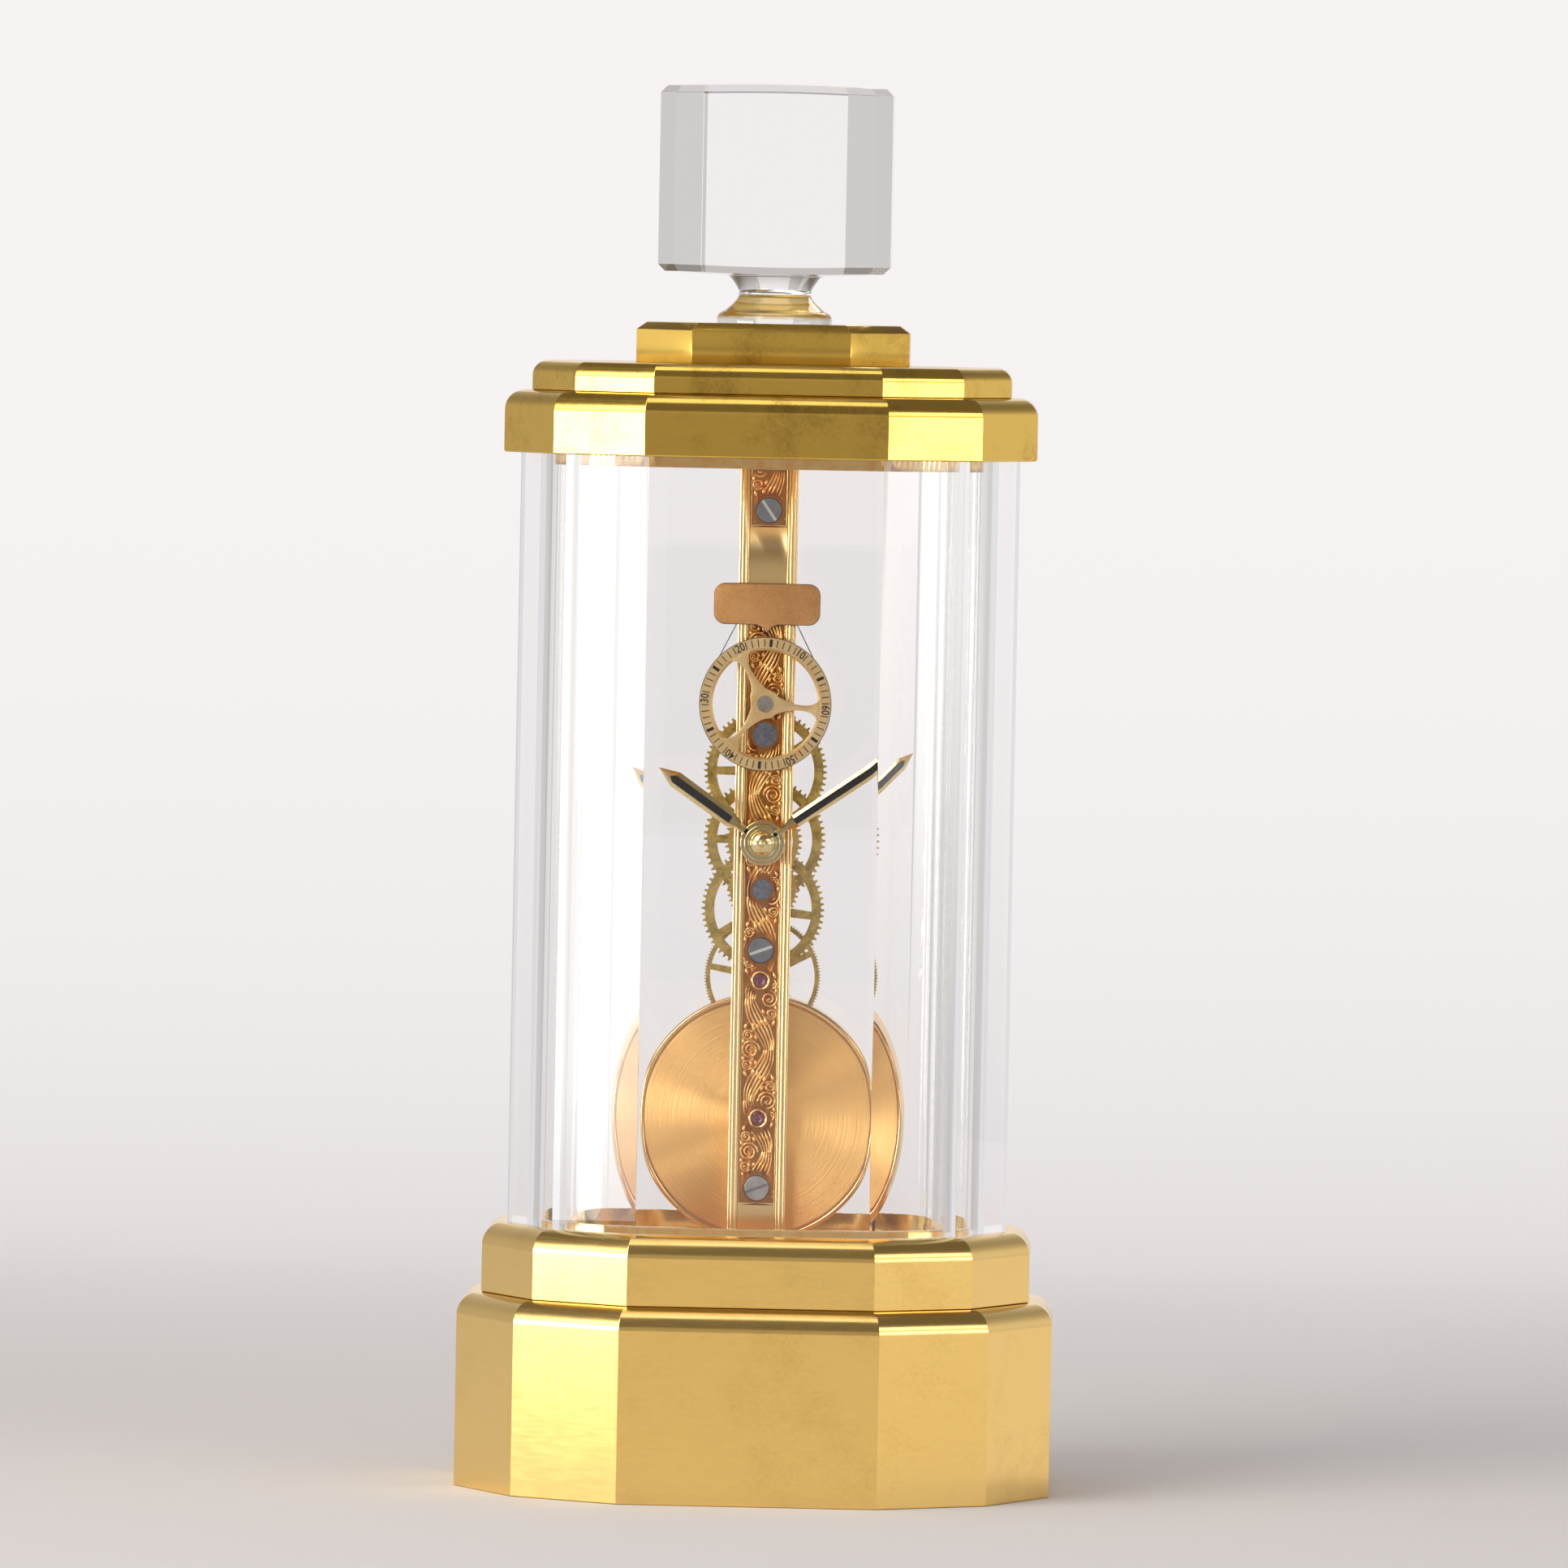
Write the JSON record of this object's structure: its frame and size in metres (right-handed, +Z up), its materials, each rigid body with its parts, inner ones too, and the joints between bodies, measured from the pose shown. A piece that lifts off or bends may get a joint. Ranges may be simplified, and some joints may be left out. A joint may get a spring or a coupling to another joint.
{
  "type": "crystal table clock",
  "caption": "Table clock: upright in-line geared movement with hands and turning seconds ring inside a faceted crystal tube, stepped gilt base and cap, crystal cube finial.",
  "frame": {"origin": "centre of the base's underside, on the resting plane", "axes": "+Z up through the finial; the dial side faces -Y; +X to the viewer's right"},
  "size_m": [0.1058, 0.082, 0.25],
  "materials": {
    "case_gilt": "polished gilt",
    "case_screws": "zinc plated",
    "crystal": "polished clear crystal",
    "movement_gilt": "engraved gilt",
    "plate_rose": "satin rose gilt",
    "drum_rose": "circular brushed rose gilt",
    "wheel_brass": "grained brass",
    "motion_gilt": "polished gilt",
    "hand_gilt": "bevelled gilt with black inlay",
    "arbor_steel": "polished steel",
    "screw_steel": "slotted blue-grey steel",
    "stud_steel": "dark steel",
    "ruby": "polished synthetic ruby",
    "guard_wire": "fine drawn wire",
    "magnet": "sintered magnet on a steel arbor",
    "stator_iron": "stamped iron",
    "copper": "enamelled winding",
    "black_plastic": "moulded black",
    "board_green": "printed board",
    "cell_sleeve": "plain sleeve",
    "wire_sleeve": "wire sleeve"
  },
  "bodies": {
    "case": {"base_plinth": "case_gilt", "base_step": "case_gilt", "base_floor": "case_gilt", "base_screws": "case_screws", "base_cover": "black_plastic", "cover_screws": "case_screws", "battery": "cell_sleeve", "battery_holder": "black_plastic", "battery_contacts": "arbor_steel", "circuit_board": "board_green", "feed_wires": "wire_sleeve", "crystal_body": "crystal", "cap_lower": "case_gilt", "cap_spigot": "case_gilt", "cap_middle": "case_gilt", "cap_top": "case_gilt", "cap_screws": "case_screws", "finial": "crystal", "bridge": "movement_gilt", "bridge_jewels": "ruby", "rear_plate": "movement_gilt", "rear_jewels": "ruby", "head_block": "movement_gilt", "foot_bracket": "movement_gilt", "rear_screws": "screw_steel", "bridge_screws": "screw_steel", "upper_cock": "movement_gilt", "cock_stud": "stud_steel", "lower_cock": "movement_gilt", "minute_stud": "stud_steel", "index_plate": "plate_rose", "ring_guard": "guard_wire", "motor_can": "drum_rose", "motor_cover": "drum_rose", "motor_stator": "stator_iron", "motor_coil": "copper", "motor_pillars": "wheel_brass"},
    "hands_minute": {"cannon_pinion": "arbor_steel", "minute_hand": "hand_gilt", "hand_cap": "hand_gilt"},
    "hands_hour": {"hour_wheel": "motion_gilt", "hour_hand": "hand_gilt"},
    "motion_minute": {"minute_wheel": "motion_gilt"},
    "seconds": {"seconds_ring": "movement_gilt", "seconds_arbor": "arbor_steel"},
    "third": {"third_wheel": "wheel_brass", "third_arbor": "arbor_steel"},
    "centre": {"centre_wheel": "wheel_brass", "centre_arbor": "arbor_steel"},
    "second": {"second_wheel": "wheel_brass", "second_arbor": "arbor_steel"},
    "first": {"first_wheel": "wheel_brass", "first_arbor": "arbor_steel"},
    "inter": {"inter_wheel": "wheel_brass", "inter_arbor": "arbor_steel"},
    "motor_rotor": {"rotor": "magnet"},
    "hatch": {"battery_hatch": "black_plastic"},
    "button": {"setting_button": "black_plastic"}
  },
  "joints": [
    {"name": "minute_hand_turn", "type": "hinge", "parent": "case", "child": "hands_minute", "pos_m": [0, 0, 0.11552], "axis": [0, 1, 0], "continuous": true},
    {"name": "hour_hand_turn", "type": "hinge", "parent": "case", "child": "hands_hour", "pos_m": [0, 0, 0.11552], "axis": [0, 1, 0], "continuous": true},
    {"name": "minute_wheel_turn", "type": "hinge", "parent": "case", "child": "motion_minute", "pos_m": [0, 0, 0.10709], "axis": [0, 1, 0], "continuous": true},
    {"name": "seconds_turn", "type": "hinge", "parent": "case", "child": "seconds", "pos_m": [0, 0, 0.14008], "axis": [0, 1, 0], "continuous": true},
    {"name": "third_wheel_turn", "type": "hinge", "parent": "case", "child": "third", "pos_m": [0, 0, 0.1278], "axis": [0, 1, 0], "continuous": true},
    {"name": "centre_wheel_turn", "type": "hinge", "parent": "case", "child": "centre", "pos_m": [0, 0, 0.11552], "axis": [0, 1, 0], "continuous": true},
    {"name": "second_wheel_turn", "type": "hinge", "parent": "case", "child": "second", "pos_m": [0, 0, 0.10324], "axis": [0, 1, 0], "continuous": true},
    {"name": "first_wheel_turn", "type": "hinge", "parent": "case", "child": "first", "pos_m": [0, 0, 0.09096], "axis": [0, 1, 0], "continuous": true},
    {"name": "inter_wheel_turn", "type": "hinge", "parent": "case", "child": "inter", "pos_m": [0, 0, 0.07868], "axis": [0, 1, 0], "continuous": true},
    {"name": "rotor_turn", "type": "hinge", "parent": "case", "child": "motor_rotor", "pos_m": [0, 0, 0.0664], "axis": [0, 1, 0], "continuous": true},
    {"name": "hatch_turn", "type": "hinge", "parent": "case", "child": "hatch", "pos_m": [0, 0, 0.002], "axis": [0, 0, 1], "range_deg": [0, 30]},
    {"name": "button_press", "type": "slide", "parent": "case", "child": "button", "axis": [0, 0, 1], "range_m": [0, 0.001], "stiffness_N_per_m": 250, "springref_m": -0.0006}
  ],
  "couplings": [
    {"joint": "hour_hand_turn", "follows": "minute_hand_turn", "ratio": 0.083333},
    {"joint": "minute_wheel_turn", "follows": "minute_hand_turn", "ratio": -0.33333},
    {"joint": "third_wheel_turn", "follows": "seconds_turn", "ratio": -0.125},
    {"joint": "centre_wheel_turn", "follows": "seconds_turn", "ratio": 0.016667},
    {"joint": "second_wheel_turn", "follows": "seconds_turn", "ratio": -0.125},
    {"joint": "first_wheel_turn", "follows": "seconds_turn", "ratio": 1},
    {"joint": "inter_wheel_turn", "follows": "seconds_turn", "ratio": -6},
    {"joint": "rotor_turn", "follows": "seconds_turn", "ratio": 30}
  ]
}
